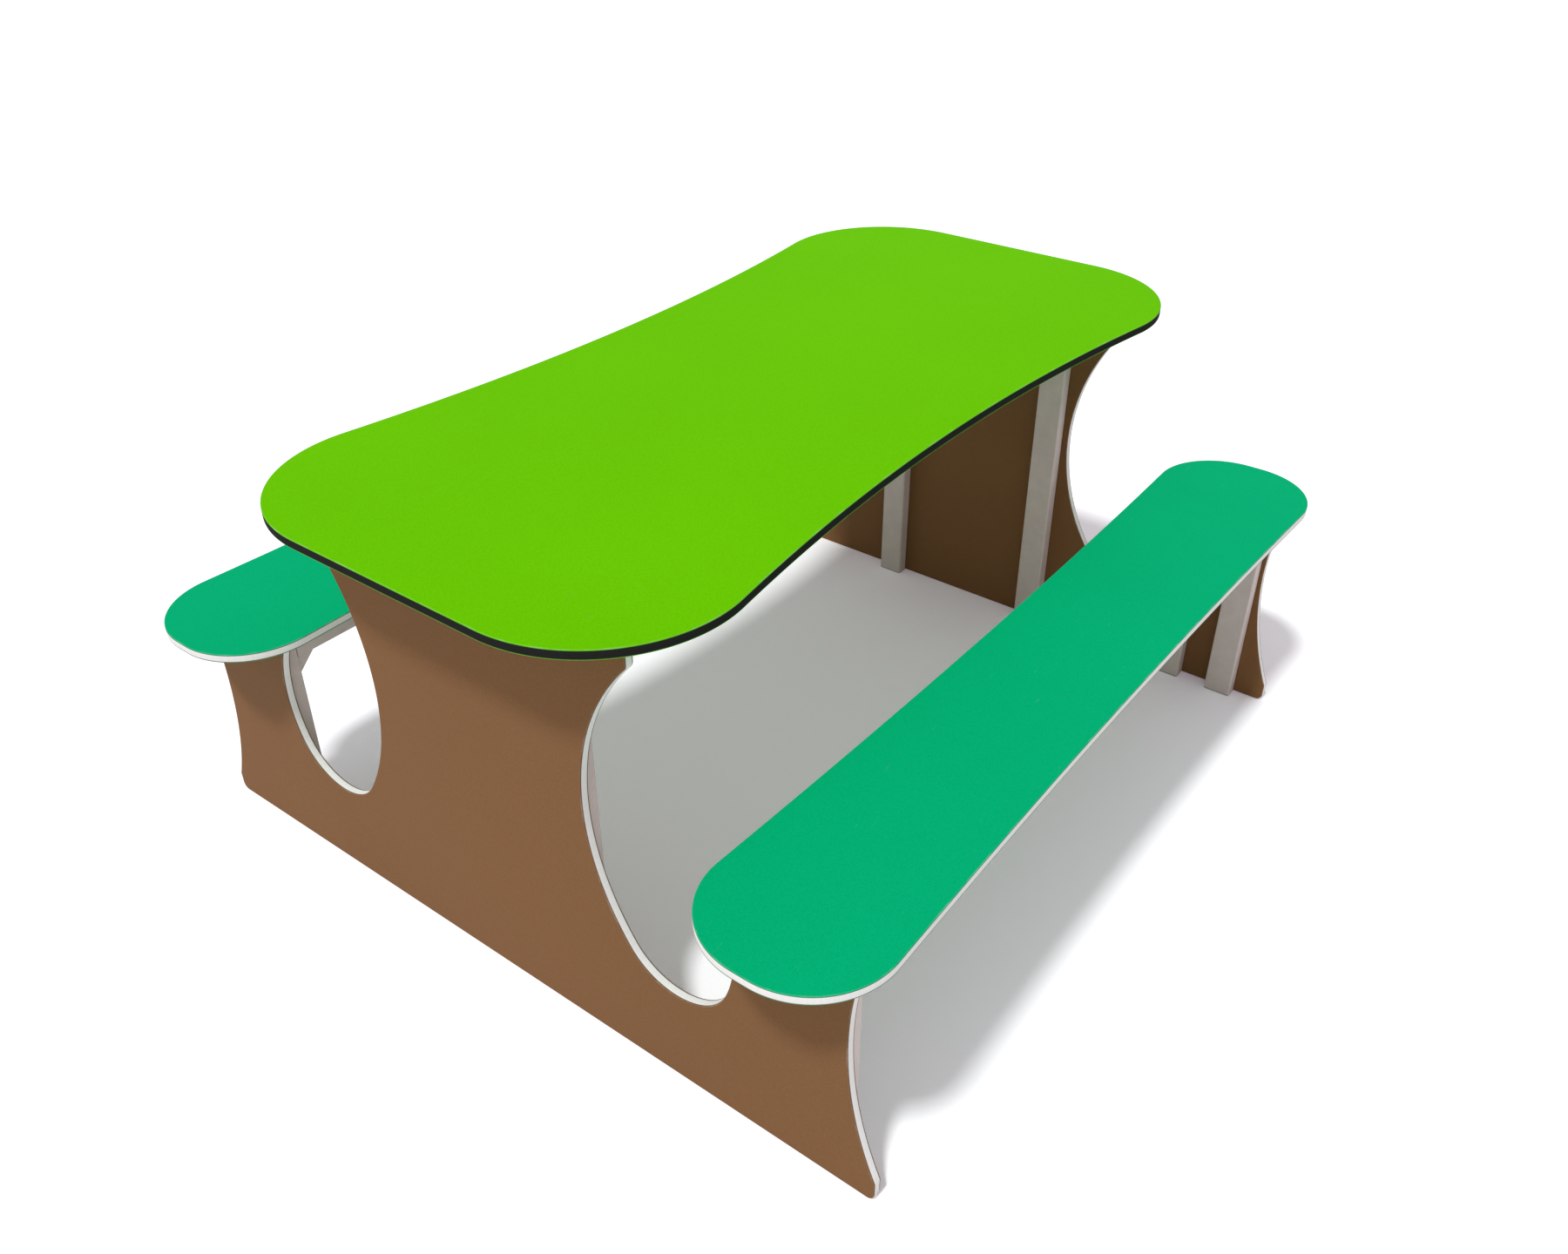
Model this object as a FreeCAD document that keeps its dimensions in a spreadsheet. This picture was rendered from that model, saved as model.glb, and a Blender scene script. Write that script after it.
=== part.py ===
"""Outdoor table with a bench along each long side: two-colour plastic sheets on steel tube frames."""
import FreeCAD
import Part
import Sketcher
import math
import os
from types import SimpleNamespace

# Driving dimensions in millimetres. X runs along the table, Y across it and Z up from the floor.
SIZES = {
    # Layout
    "panel_span": 1400,  # between the outer faces of the two end panels
    "top_height": 750,  # upper face of the table top
    "bench_height": 430,  # upper face of a bench
    "bench_offset": 557,  # middle of the table to the middle of a bench
    "sheet_thickness": 15,
    "edge_round": 2,  # rounding of the rims of the top and seats
    # Table top
    "top_overhang": 100,  # past the outer face of an end panel
    "top_width": 763,
    "top_end_flat": 343,  # straight part of each short end
    "top_hollow": 45,  # depth of the hollow in each long side
    # Bench seats
    "bench_overhang": 100,
    "bench_width": 273,
    "bench_end_flat": 23,
    "bench_hollow": 10.5,
    # End panels: a trunk under the top and a stub under each bench, with a round notch between
    "trunk_waist": 423,
    "trunk_waist_height": 432,
    "shoulder_width": 626,
    "shoulder_edge": 34,  # upright edge below the table top
    "shoulder_round": 12,
    "notch_bottom": 166.5,
    "notch_lean": 51.7,  # how far the trunk leans out from its waist to the notch
    "notch_swell": 8.7,  # how far the notch widens above its round bottom
    "stub_inner_radius": 230,
    "stub_inner": 91.5,  # middle of the bench to the widest part of the notch
    "stub_outer": 87.7,  # middle of the bench to the narrowest part of the outer edge
    "stub_waist_height": 275,
    "stub_flare_radius": 602,
    "foot_edge": 34,  # upright edge above the floor
    "foot_round": 12,
    # Steel tube of posts and rails
    "tube_width": 52,
    "tube_depth": 27,
    "tube_wall": 2.5,
    "tube_bend": 1,  # inner corner radius
    "table_post_spacing": 349,
    "bench_post_spacing": 110,
    # Corner gussets
    "gusset_leg": 29,
    "gusset_land": 2,  # blunted tips
    "gusset_thickness": 5,
    "gusset_inset": 3.5,  # from the outer side of the tube
    # Fixing plates on the rails
    "plate_thickness": 5,
    "plate_length": 40,
    "plate_reach": 35,  # past the inner side of the rail
    "plate_round": 8,
    "plate_margin": 110,  # end of the rail to the first plate's middle
    "top_plate_count": 4,
    "bench_plate_count": 3,
    # Tube feet
    "foot_flange": 3,
    "foot_plug": 20,
    "foot_clearance": 0.2,
    # Screws and threaded inserts
    "screw_diameter": 8,
    "screw_clearance": 1,
    "screw_point": 1,
    "screw_gap": 2,  # from the screw's end to the bottom of the insert
    "head_diameter": 14,
    "head_height": 4.4,
    "head_rim": 1,
    "insert_diameter": 12,
    "insert_cover": 5,  # sheet left over an insert
    "table_screw_drop": 20,  # rail's underside to the upper screw of a post
    "table_screw_pitch": 60,
    "bench_screw_drop": 40,
}


class Size:
    """A dimension held both as a number and as a formula over the cells of the sheet."""

    def __init__(self, number, formula):
        self.number = number
        self.formula = formula

    def __add__(self, other):
        other = as_size(other)
        return Size(self.number + other.number, f"({self.formula} + {other.formula})")

    def __sub__(self, other):
        other = as_size(other)
        return Size(self.number - other.number, f"({self.formula} - {other.formula})")

    def __mul__(self, factor):
        return Size(self.number * factor, f"({self.formula} * ({factor}))")

    def __truediv__(self, factor):
        return Size(self.number / factor, f"({self.formula} / {factor})")


def as_size(value):
    return value if isinstance(value, Size) else Size(value, f"({value})")


doc = FreeCAD.newDocument("table_with_benches")
sheet = doc.addObject("Spreadsheet::Sheet", "sizes")
for row, (name, value) in enumerate(SIZES.items(), start=1):
    sheet.set(f"A{row}", name)
    sheet.set(f"B{row}", str(value))
    sheet.setAlias(f"B{row}", name)
doc.recompute()
dim = SimpleNamespace(**{name: Size(value, f"sizes.{name}") for name, value in SIZES.items()})

RIGHT_ANGLE = math.pi / 2
TOLERANCE = 0.001
UP = FreeCAD.Vector(0, 0, 1)
# How a sketch numbers the points of a line or an arc, and its own axes.
START, END, CENTRE = range(1, 4)
X_AXIS, Y_AXIS = range(-1, -3, -1)
ORIGIN = (X_AXIS, START)
HALF_TURN = FreeCAD.Rotation(UP, 180)
# Turns a body so that its own Z runs along -X of the table and its own X runs up.
ALONG_TABLE = FreeCAD.Rotation(FreeCAD.Vector(0, 1, 0), -90)

panel_inner = dim.panel_span / 2 - dim.sheet_thickness
rail_end = panel_inner - dim.tube_depth
insert_length = dim.sheet_thickness - dim.insert_cover
tube_corner = dim.tube_bend + dim.tube_wall
plate_hole = dim.screw_diameter + dim.screw_clearance
parts = []


def require(condition, message):
    if not condition:
        raise RuntimeError(message)


def new_body(label):
    body = doc.addObject("PartDesign::Body", label)
    body.Label = label
    parts.append(body)
    return body


def place(body, x=0, y=0, z=0, rotation=FreeCAD.Rotation()):
    body.Placement = FreeCAD.Placement(FreeCAD.Vector(), rotation)
    for axis, value in zip("xyz", (x, y, z)):
        body.setExpression(f"Placement.Base.{axis}", as_size(value).formula)


def datum(body, role):
    return next(item for item in body.Origin.OriginFeatures if item.Role == role)


def new_sketch(body, role, name, **offset):
    """Sketch on a datum plane of its own body, moved in the sketch's axes by the given offsets."""
    sketch = body.newObject("Sketcher::SketchObject", f"{body.Name}_{name}")
    sketch.AttachmentSupport = (datum(body, role), "")
    sketch.MapMode = "FlatFace"
    for axis, value in offset.items():
        sketch.setExpression(f"AttachmentOffset.Base.{axis}", value.formula)
    return sketch


def rule(sketch, kind, *references):
    return sketch.addConstraint(Sketcher.Constraint(kind, *references))


def measure(sketch, kind, references, size):
    index = rule(sketch, kind, *references, size.number)
    sketch.setExpression(f"Constraints[{index}]", size.formula)


def locate(sketch, geometry, point, x=None, y=None):
    """Dimension a point from the sketch's origin."""
    for kind, size in (("DistanceX", x), ("DistanceY", y)):
        if size is not None and size.number >= 0:
            measure(sketch, kind, (*ORIGIN, geometry, point), size)
        elif size is not None:
            measure(sketch, kind, (geometry, point, *ORIGIN), size * -1)


def line(sketch, start, end):
    return sketch.addGeometry(Part.LineSegment(FreeCAD.Vector(*start, 0), FreeCAD.Vector(*end, 0)))


def circle(sketch, centre, radius):
    return sketch.addGeometry(Part.Circle(FreeCAD.Vector(*centre, 0), UP, radius))


def arc(sketch, centre, radius, first, last):
    ring = Part.Circle(FreeCAD.Vector(*centre, 0), UP, radius)
    return sketch.addGeometry(Part.ArcOfCircle(ring, first, last))


def arc_between(sketch, centre, start, end):
    """Arc about a centre, anticlockwise from one point to the other."""
    first = math.atan2(start[1] - centre[1], start[0] - centre[0])
    last = math.atan2(end[1] - centre[1], end[0] - centre[0])
    if last < first:
        last += 4 * RIGHT_ANGLE
    return arc(sketch, centre, math.dist(centre, start), first, last)


def toward(start, target, distance):
    share = distance / math.dist(start, target)
    return tuple(a + (b - a) * share for a, b in zip(start, target))


def join(sketch, kind, *pairs):
    for pair in pairs:
        rule(sketch, kind, *pair)


def check_sketch(sketch):
    require(sketch.solve() == 0, f"{sketch.Name} doesn't solve")


def finish(body, feature):
    body.Tip = feature
    doc.recompute()
    return feature


def pad(body, sketch, length, side="One side"):
    check_sketch(sketch)
    feature = body.newObject("PartDesign::Pad", f"{sketch.Name}_pad")
    feature.Profile = (sketch, [""])
    feature.SideType = side
    feature.setExpression("Length", length.formula)
    return finish(body, feature)


def pocket(body, sketch, depth=None):
    """Cut to a depth below the sketch, or both ways through the whole body."""
    check_sketch(sketch)
    before = body.Shape.Volume
    feature = body.newObject("PartDesign::Pocket", f"{sketch.Name}_cut")
    feature.Profile = (sketch, [""])
    if depth is None:
        feature.Type = "ThroughAll"
        feature.SideType = "Symmetric"
    else:
        feature.setExpression("Length", depth.formula)
    finish(body, feature)
    require(body.Shape.Volume < before, f"{feature.Name} removes nothing")
    return feature


def pattern(body, originals, *directions):
    """Repeat features along up to two datum axes, each given as role, extent and count."""
    feature = body.newObject("PartDesign::LinearPattern", f"{body.Name}_pattern")
    feature.Originals = originals
    for suffix, (role, extent, count) in zip(("", "2"), directions):
        setattr(feature, f"Direction{suffix}", (datum(body, role), [""]))
        feature.setExpression(f"Length{suffix}", extent.formula)
        feature.setExpression(f"Occurrences{suffix}", as_size(count).formula)
    return finish(body, feature)


def mirror(body, role, originals=None):
    """Mirror the given features, or the whole body, in a datum plane."""
    feature = body.newObject("PartDesign::Mirrored", f"{body.Name}_mirror")
    feature.MirrorPlane = (datum(body, role), [""])
    if originals:
        feature.Originals = originals
    else:
        feature.TransformMode = "Whole shape"
    return finish(body, feature)


def round_rims(body, base):
    """Round the outline of the upper and lower faces of a sheet."""
    shape = base.Shape
    planes = [face for face in shape.Faces if face.Surface.TypeId == "Part::GeomPlane"]
    level = [face for face in planes if face.Surface.Axis.cross(UP).Length < TOLERANCE]
    outline = [edge for face in level for edge in face.Edges]
    rims = [f"Edge{index}" for index, edge in enumerate(shape.Edges, start=1)
            if any(edge.isSame(other) for other in outline)]
    feature = body.newObject("PartDesign::Fillet", f"{body.Name}_rims")
    feature.Base = (base, rims)
    feature.setExpression("Radius", dim.edge_round.formula)
    finish(body, feature)
    require(0 < shape.Volume - body.Shape.Volume < shape.Volume / 100, f"{feature.Name} is wrong")


def waisted_outline(sketch, length, width, corner, hollow):
    """Long outline with round corners, straight ends and sides hollowed by one arc each."""
    radius = corner.number
    end_x = length.number / 2
    corner_x = end_x - radius
    corner_y = width.number / 2 - radius
    waist = width / 2 - hollow
    rise = waist.number - corner_y
    side_radius = (corner_x ** 2 + rise ** 2 - radius ** 2) / (2 * hollow.number)
    side_y = waist.number + side_radius
    turn = math.atan2(corner_x, side_y - corner_y)
    right = line(sketch, (end_x, -corner_y), (end_x, corner_y))
    right_top = arc(sketch, (corner_x, corner_y), radius, 0, RIGHT_ANGLE + turn)
    top = arc(sketch, (0, side_y), side_radius, -RIGHT_ANGLE - turn, -RIGHT_ANGLE + turn)
    left_top = arc(sketch, (-corner_x, corner_y), radius, RIGHT_ANGLE - turn, 2 * RIGHT_ANGLE)
    left = line(sketch, (-end_x, corner_y), (-end_x, -corner_y))
    left_low = arc(sketch, (-corner_x, -corner_y), radius, 2 * RIGHT_ANGLE, 3 * RIGHT_ANGLE + turn)
    low = arc(sketch, (0, -side_y), side_radius, RIGHT_ANGLE - turn, RIGHT_ANGLE + turn)
    right_low = arc(sketch, (corner_x, -corner_y), radius, 3 * RIGHT_ANGLE - turn, 4 * RIGHT_ANGLE)
    join(sketch, "Tangent",
         (right, END, right_top, START), (right_top, END, top, END),
         (top, START, left_top, START), (left_top, END, left, START),
         (left, END, left_low, START), (left_low, END, low, END),
         (low, START, right_low, START), (right_low, END, right, START))
    rule(sketch, "Symmetric", right_top, CENTRE, left_top, CENTRE, Y_AXIS)
    rule(sketch, "Symmetric", right_top, CENTRE, right_low, CENTRE, X_AXIS)
    rule(sketch, "Symmetric", left_top, CENTRE, left_low, CENTRE, X_AXIS)
    for other in (left_top, left_low, right_low):
        rule(sketch, "Equal", right_top, other)
    rule(sketch, "Equal", top, low)
    measure(sketch, "Radius", (right_top,), corner)
    locate(sketch, right_top, CENTRE, length / 2 - corner, width / 2 - corner)
    middle = sketch.addGeometry(Part.Point(FreeCAD.Vector(0, waist.number, 0)), True)
    rule(sketch, "PointOnObject", middle, START, Y_AXIS)
    rule(sketch, "PointOnObject", middle, START, top)
    locate(sketch, middle, START, y=waist)


def panel_outline(sketch):
    """Half of an end panel, from its middle line out: foot, stub, notch, trunk and shoulder."""
    half_waist = dim.trunk_waist / 2
    reach = dim.bench_offset - dim.stub_inner
    bowl_radius = (reach - dim.notch_swell - half_waist - dim.notch_lean) / 2
    bowl_y = half_waist + dim.notch_lean + bowl_radius
    bowl_z = dim.notch_bottom + bowl_radius
    flare_y = dim.bench_offset + dim.stub_outer + dim.stub_flare_radius
    stub_y = reach - dim.stub_inner_radius
    stub_z = dim.bench_height - dim.sheet_thickness
    trunk_z = dim.top_height - dim.sheet_thickness
    shoulder_y = dim.shoulder_width / 2

    foot_radius = dim.foot_round.number
    flare_radius = dim.stub_flare_radius.number
    flare_centre = (flare_y.number, dim.stub_waist_height.number)
    foot_z = dim.foot_edge.number
    foot_y = flare_centre[0] - math.sqrt(flare_radius ** 2 - (flare_centre[1] - foot_z) ** 2)
    foot_top = (foot_y, foot_z)
    foot_centre = (foot_y - foot_radius, foot_radius)
    foot_end = (foot_y, foot_radius)
    flare_run = math.sqrt(flare_radius ** 2 - (stub_z.number - flare_centre[1]) ** 2)
    stub_out = (flare_centre[0] - flare_run, stub_z.number)

    bowl_centre = (bowl_y.number, bowl_z.number)
    inner_radius = dim.stub_inner_radius.number
    swell = dim.notch_swell.number
    inner_rise = math.sqrt(swell * (2 * (inner_radius - bowl_radius.number) - swell))
    inner_centre = (stub_y.number, bowl_centre[1] + inner_rise)
    bowl_end = toward(inner_centre, bowl_centre, inner_radius)
    inner_run = math.sqrt(inner_radius ** 2 - (stub_z.number - inner_centre[1]) ** 2)
    stub_in = (inner_centre[0] + inner_run, stub_z.number)

    lean = dim.notch_lean.number
    waist_point = (half_waist.number, dim.trunk_waist_height.number)
    lower_radius = lean / 2 + bowl_radius.number + (waist_point[1] - bowl_centre[1]) ** 2 / (2 * lean)
    lower_centre = (waist_point[0] + lower_radius, waist_point[1])
    bowl_start = toward(lower_centre, bowl_centre, lower_radius)

    corner = dim.shoulder_round.number
    edge_z = trunk_z.number - dim.shoulder_edge.number
    shoulder_centre = (shoulder_y.number - corner, edge_z)
    run = shoulder_centre[0] - waist_point[0]
    rise = edge_z - waist_point[1]
    upper_radius = (run ** 2 + rise ** 2 - corner ** 2) / (2 * (run + corner))
    upper_centre = (waist_point[0] + upper_radius, waist_point[1])
    shoulder_start = toward(upper_centre, shoulder_centre, upper_radius)
    shoulder_end = (shoulder_y.number, edge_z)
    top_end = (shoulder_y.number, trunk_z.number)
    foot_start = (foot_centre[0], 0)

    base = line(sketch, (0, 0), foot_start)
    foot = arc_between(sketch, foot_centre, foot_start, foot_end)
    toe = line(sketch, foot_end, foot_top)
    flare = arc_between(sketch, flare_centre, stub_out, foot_top)
    stub = line(sketch, stub_out, stub_in)
    inner = arc_between(sketch, inner_centre, bowl_end, stub_in)
    bowl = arc_between(sketch, bowl_centre, bowl_start, bowl_end)
    lower = arc_between(sketch, lower_centre, waist_point, bowl_start)
    upper = arc_between(sketch, upper_centre, shoulder_start, waist_point)
    shoulder = arc_between(sketch, shoulder_centre, shoulder_start, shoulder_end)
    edge = line(sketch, shoulder_end, top_end)
    top = line(sketch, top_end, (0, trunk_z.number))
    middle = line(sketch, (0, trunk_z.number), (0, 0))
    join(sketch, "Tangent",
         (base, END, foot, START), (foot, END, toe, START), (inner, START, bowl, END),
         (bowl, START, lower, END), (lower, START, upper, END),
         (upper, START, shoulder, START), (shoulder, END, edge, START))
    join(sketch, "Coincident",
         (toe, END, flare, END), (flare, START, stub, START), (stub, END, inner, END),
         (edge, END, top, START),
         (top, END, middle, START), (middle, END, base, START), (base, START, *ORIGIN))
    join(sketch, "Horizontal", (base,), (stub,), (top,), (lower, START, lower, CENTRE))
    join(sketch, "Vertical", (toe,), (edge,), (middle,))
    locate(sketch, toe, END, y=dim.foot_edge)
    locate(sketch, stub, START, y=stub_z)
    locate(sketch, top, START, y=trunk_z)
    measure(sketch, "Radius", (foot,), dim.foot_round)
    measure(sketch, "Radius", (flare,), dim.stub_flare_radius)
    locate(sketch, flare, CENTRE, flare_y, dim.stub_waist_height)
    measure(sketch, "Radius", (bowl,), bowl_radius)
    locate(sketch, bowl, CENTRE, bowl_y, bowl_z)
    locate(sketch, lower, START, half_waist, dim.trunk_waist_height)
    measure(sketch, "Radius", (inner,), dim.stub_inner_radius)
    locate(sketch, inner, CENTRE, stub_y)
    locate(sketch, edge, START, shoulder_y)
    measure(sketch, "DistanceY", (edge, START, edge, END), dim.shoulder_edge)
    measure(sketch, "Radius", (shoulder,), dim.shoulder_round)


def rounded_rectangle(sketch, width, depth, radius):
    """Rectangle about the sketch's origin, width along its X, with equal round corners."""
    corner = radius.number
    far_x, far_y = width.number / 2, depth.number / 2
    near_x, near_y = far_x - corner, far_y - corner
    low = line(sketch, (-near_x, -far_y), (near_x, -far_y))
    right = line(sketch, (far_x, -near_y), (far_x, near_y))
    top = line(sketch, (near_x, far_y), (-near_x, far_y))
    left = line(sketch, (-far_x, near_y), (-far_x, -near_y))
    right_low = arc(sketch, (near_x, -near_y), corner, -RIGHT_ANGLE, 0)
    right_top = arc(sketch, (near_x, near_y), corner, 0, RIGHT_ANGLE)
    left_top = arc(sketch, (-near_x, near_y), corner, RIGHT_ANGLE, 2 * RIGHT_ANGLE)
    left_low = arc(sketch, (-near_x, -near_y), corner, 2 * RIGHT_ANGLE, 3 * RIGHT_ANGLE)
    join(sketch, "Tangent",
         (low, END, right_low, START), (right_low, END, right, START),
         (right, END, right_top, START), (right_top, END, top, START),
         (top, END, left_top, START), (left_top, END, left, START),
         (left, END, left_low, START), (left_low, END, low, START))
    join(sketch, "Horizontal", (low,), (top,))
    join(sketch, "Vertical", (right,), (left,))
    join(sketch, "Equal", (right_low, right_top), (right_low, left_top), (right_low, left_low))
    rule(sketch, "Symmetric", right_top, CENTRE, left_low, CENTRE, *ORIGIN)
    measure(sketch, "Radius", (right_low,), radius)
    measure(sketch, "DistanceX", (left, START, right, START), width)
    measure(sketch, "DistanceY", (low, START, top, START), depth)


def add_circles(sketch, diameter, centres):
    """Equal circles at points of the sketch, given as pairs of sizes."""
    first = None
    for x, y in centres:
        ring = circle(sketch, (x.number, y.number), diameter.number / 2)
        locate(sketch, ring, CENTRE, x, y)
        if first is None:
            first = ring
            measure(sketch, "Diameter", (ring,), diameter)
        else:
            rule(sketch, "Equal", first, ring)


def screw_profile(sketch, length):
    """Half section of a domed screw: the head's seat on the sketch's X axis, the shank up its Y axis."""
    head, shank = dim.head_diameter / 2, dim.screw_diameter / 2
    low, rim, point = -dim.head_height.number, -dim.head_rim.number, dim.screw_point.number
    dome_y = (head.number ** 2 + rim ** 2 - low ** 2) / (2 * (rim - low))
    shank_end = (shank.number, length.number - point)
    tip_end = (shank.number - point, length.number)
    dome = arc_between(sketch, (0, dome_y), (0, low), (head.number, rim))
    side = line(sketch, (head.number, rim), (head.number, 0))
    seat = line(sketch, (head.number, 0), (shank.number, 0))
    body = line(sketch, (shank.number, 0), shank_end)
    cone = line(sketch, shank_end, tip_end)
    tip = line(sketch, tip_end, (0, length.number))
    axis = line(sketch, (0, length.number), (0, low))
    join(sketch, "Coincident",
         (dome, END, side, START), (side, END, seat, START), (seat, END, body, START),
         (body, END, cone, START), (cone, END, tip, START), (tip, END, axis, START),
         (axis, END, dome, START))
    join(sketch, "Vertical", (side,), (body,), (axis,))
    join(sketch, "Horizontal", (seat,), (tip,))
    join(sketch, "PointOnObject",
         (seat, START, X_AXIS), (axis, START, Y_AXIS), (dome, CENTRE, Y_AXIS))
    locate(sketch, side, START, head, dim.head_rim * -1)
    locate(sketch, body, START, shank)
    locate(sketch, dome, START, y=dim.head_height * -1)
    locate(sketch, tip, END, y=length)
    measure(sketch, "DistanceX", (cone, END, cone, START), dim.screw_point)
    measure(sketch, "DistanceY", (cone, START, cone, END), dim.screw_point)


def make_screw(body, length, **offset):
    sketch = new_sketch(body, "XZ_Plane", "profile", **offset)
    screw_profile(sketch, length)
    check_sketch(sketch)
    feature = body.newObject("PartDesign::Revolution", f"{body.Name}_turned")
    feature.Profile = (sketch, [""])
    feature.ReferenceAxis = (sketch, ["V_Axis"])
    return finish(body, feature)


def make_insert(body, **offset):
    sketch = new_sketch(body, "XY_Plane", "ring", **offset)
    for diameter in (dim.insert_diameter, dim.screw_diameter):
        ring = circle(sketch, (0, 0), diameter.number / 2)
        rule(sketch, "Coincident", ring, CENTRE, *ORIGIN)
        measure(sketch, "Diameter", (ring,), diameter)
    return pad(body, sketch, insert_length)


def make_board(board):
    """Top or seat: rounded sheet with rows of blind holes for its inserts in the underside."""
    body = new_body(board.label)
    outline = new_sketch(body, "XY_Plane", "outline")
    corner = (board.width - board.end_flat) / 2
    waisted_outline(outline, board.length, board.width, corner, board.hollow)
    blank = pad(body, outline, dim.sheet_thickness)
    round_rims(body, blank)
    holes = new_sketch(body, "XY_Plane", "holes", z=insert_length)
    add_circles(holes, dim.insert_diameter, [(board.plate_x * -1, board.screw_row * -1)])
    hole = pocket(body, holes, insert_length)
    pattern(body, [hole], *board.grid)
    place(body, y=board.middle, z=board.underside)


def make_panel(label, boards, end):
    """End panel with blind holes for its inserts in the inner face."""
    body = new_body(label)
    outline = new_sketch(body, "YZ_Plane", "outline")
    panel_outline(outline)
    half = pad(body, outline, dim.sheet_thickness)
    mirror(body, "XZ_Plane", [half])
    table, bench = boards
    holes = new_sketch(body, "YZ_Plane", "holes", z=dim.sheet_thickness)
    centres = [(table.post_spacing / 2, table.screw_z + dim.table_screw_pitch * step) for step in (0, 1)]
    centres += [(dim.bench_offset + bench.post_spacing * half, bench.screw_z) for half in (-0.5, 0.5)]
    add_circles(holes, dim.insert_diameter, centres)
    hole = pocket(body, holes, insert_length)
    mirror(body, "XZ_Plane", [hole])
    place(body, x=dim.panel_span / 2 * end, rotation=FreeCAD.Rotation() if end < 0 else HALF_TURN)


def make_post(label, board, side, end):
    body = new_body(label)
    section = new_sketch(body, "XY_Plane", "section")
    rounded_rectangle(section, dim.tube_depth, dim.tube_width, tube_corner)
    rounded_rectangle(section, dim.tube_depth - dim.tube_wall * 2, dim.tube_width - dim.tube_wall * 2,
                      dim.tube_bend)
    pad(body, section, board.underside - dim.foot_flange)
    holes = new_sketch(body, "YZ_Plane", "holes")
    for step in range(board.screw_rows):
        ring = circle(holes, (0, board.screw_z.number), plate_hole.number / 2)
        height = board.screw_z - dim.foot_flange + dim.table_screw_pitch * step
        rule(holes, "PointOnObject", ring, CENTRE, Y_AXIS)
        locate(holes, ring, CENTRE, y=height)
        measure(holes, "Diameter", (ring,), plate_hole)
    pocket(body, holes)
    place(body, (panel_inner - dim.tube_depth / 2) * end, board.middle + board.post_spacing / 2 * side,
          dim.foot_flange)


def make_rail(label, board, side):
    body = new_body(label)
    section = new_sketch(body, "YZ_Plane", "section")
    rounded_rectangle(section, dim.tube_depth, dim.tube_width, tube_corner)
    rounded_rectangle(section, dim.tube_depth - dim.tube_wall * 2, dim.tube_width - dim.tube_wall * 2,
                      dim.tube_bend)
    pad(body, section, rail_end * 2, "Symmetric")
    place(body, 0, board.middle + (board.outer_side - dim.tube_depth / 2) * side,
          board.rail_low + dim.tube_width / 2)


def make_gusset(label, board, side, end):
    """Triangular plate in the corner under a rail and beside a post, its tips blunted."""
    body = new_body(label)
    outline = new_sketch(body, "XZ_Plane", "outline")
    leg, land = dim.gusset_leg.number, dim.gusset_land.number
    points = [(0, 0), (leg, 0), (leg, -land), (land, -leg), (0, -leg)]
    edges = [line(outline, start, end_point) for start, end_point in zip(points, points[1:] + points[:1])]
    top, right, slope, low, left = edges
    join(outline, "Coincident",
         *((first, END, second, START) for first, second in zip(edges, edges[1:] + edges[:1])),
         (top, START, *ORIGIN))
    join(outline, "Horizontal", (top,), (low,))
    join(outline, "Vertical", (right,), (left,))
    join(outline, "Equal", (top, left), (right, low))
    measure(outline, "DistanceX", (top, START, top, END), dim.gusset_leg)
    measure(outline, "DistanceY", (right, END, right, START), dim.gusset_land)
    pad(body, outline, dim.gusset_thickness, "Symmetric")
    offset = board.outer_side - dim.gusset_inset - dim.gusset_thickness / 2
    place(body, rail_end * end, board.middle + offset * side, board.rail_low,
          FreeCAD.Rotation() if end < 0 else HALF_TURN)


def make_plates(label, board, side):
    """Row of drilled plates across a rail's upper side, each reaching in past the rail."""
    body = new_body(label)
    outline = new_sketch(body, "XY_Plane", "outline")
    width = dim.tube_depth + dim.plate_reach
    corner = dim.plate_round.number
    half, depth = dim.plate_length.number / 2, width.number
    low = line(outline, (-half, 0), (half, 0))
    right = line(outline, (half, 0), (half, depth - corner))
    right_top = arc(outline, (half - corner, depth - corner), corner, 0, RIGHT_ANGLE)
    top = line(outline, (half - corner, depth), (corner - half, depth))
    left_top = arc(outline, (corner - half, depth - corner), corner, RIGHT_ANGLE, 2 * RIGHT_ANGLE)
    left = line(outline, (-half, depth - corner), (-half, 0))
    join(outline, "Coincident", (low, END, right, START), (left, END, low, START))
    join(outline, "Tangent",
         (right, END, right_top, START), (right_top, END, top, START),
         (top, END, left_top, START), (left_top, END, left, START))
    join(outline, "Vertical", (right,), (left,))
    rule(outline, "Horizontal", top)
    rule(outline, "Symmetric", low, START, low, END, Y_AXIS)
    rule(outline, "PointOnObject", low, START, X_AXIS)
    rule(outline, "Equal", right_top, left_top)
    measure(outline, "Radius", (right_top,), dim.plate_round)
    measure(outline, "DistanceX", (low, START, low, END), dim.plate_length)
    locate(outline, top, START, y=width)
    hole_y = dim.tube_depth + dim.plate_reach / 2
    ring = circle(outline, (0, hole_y.number), plate_hole.number / 2)
    rule(outline, "PointOnObject", ring, CENTRE, Y_AXIS)
    locate(outline, ring, CENTRE, y=hole_y)
    measure(outline, "Diameter", (ring,), plate_hole)
    plate = pad(body, outline, dim.plate_thickness)
    pattern(body, [plate], board.grid[0])
    place(body, board.plate_x * side, board.middle + board.outer_side * side,
          board.underside - dim.plate_thickness, FreeCAD.Rotation() if side < 0 else HALF_TURN)


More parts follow.
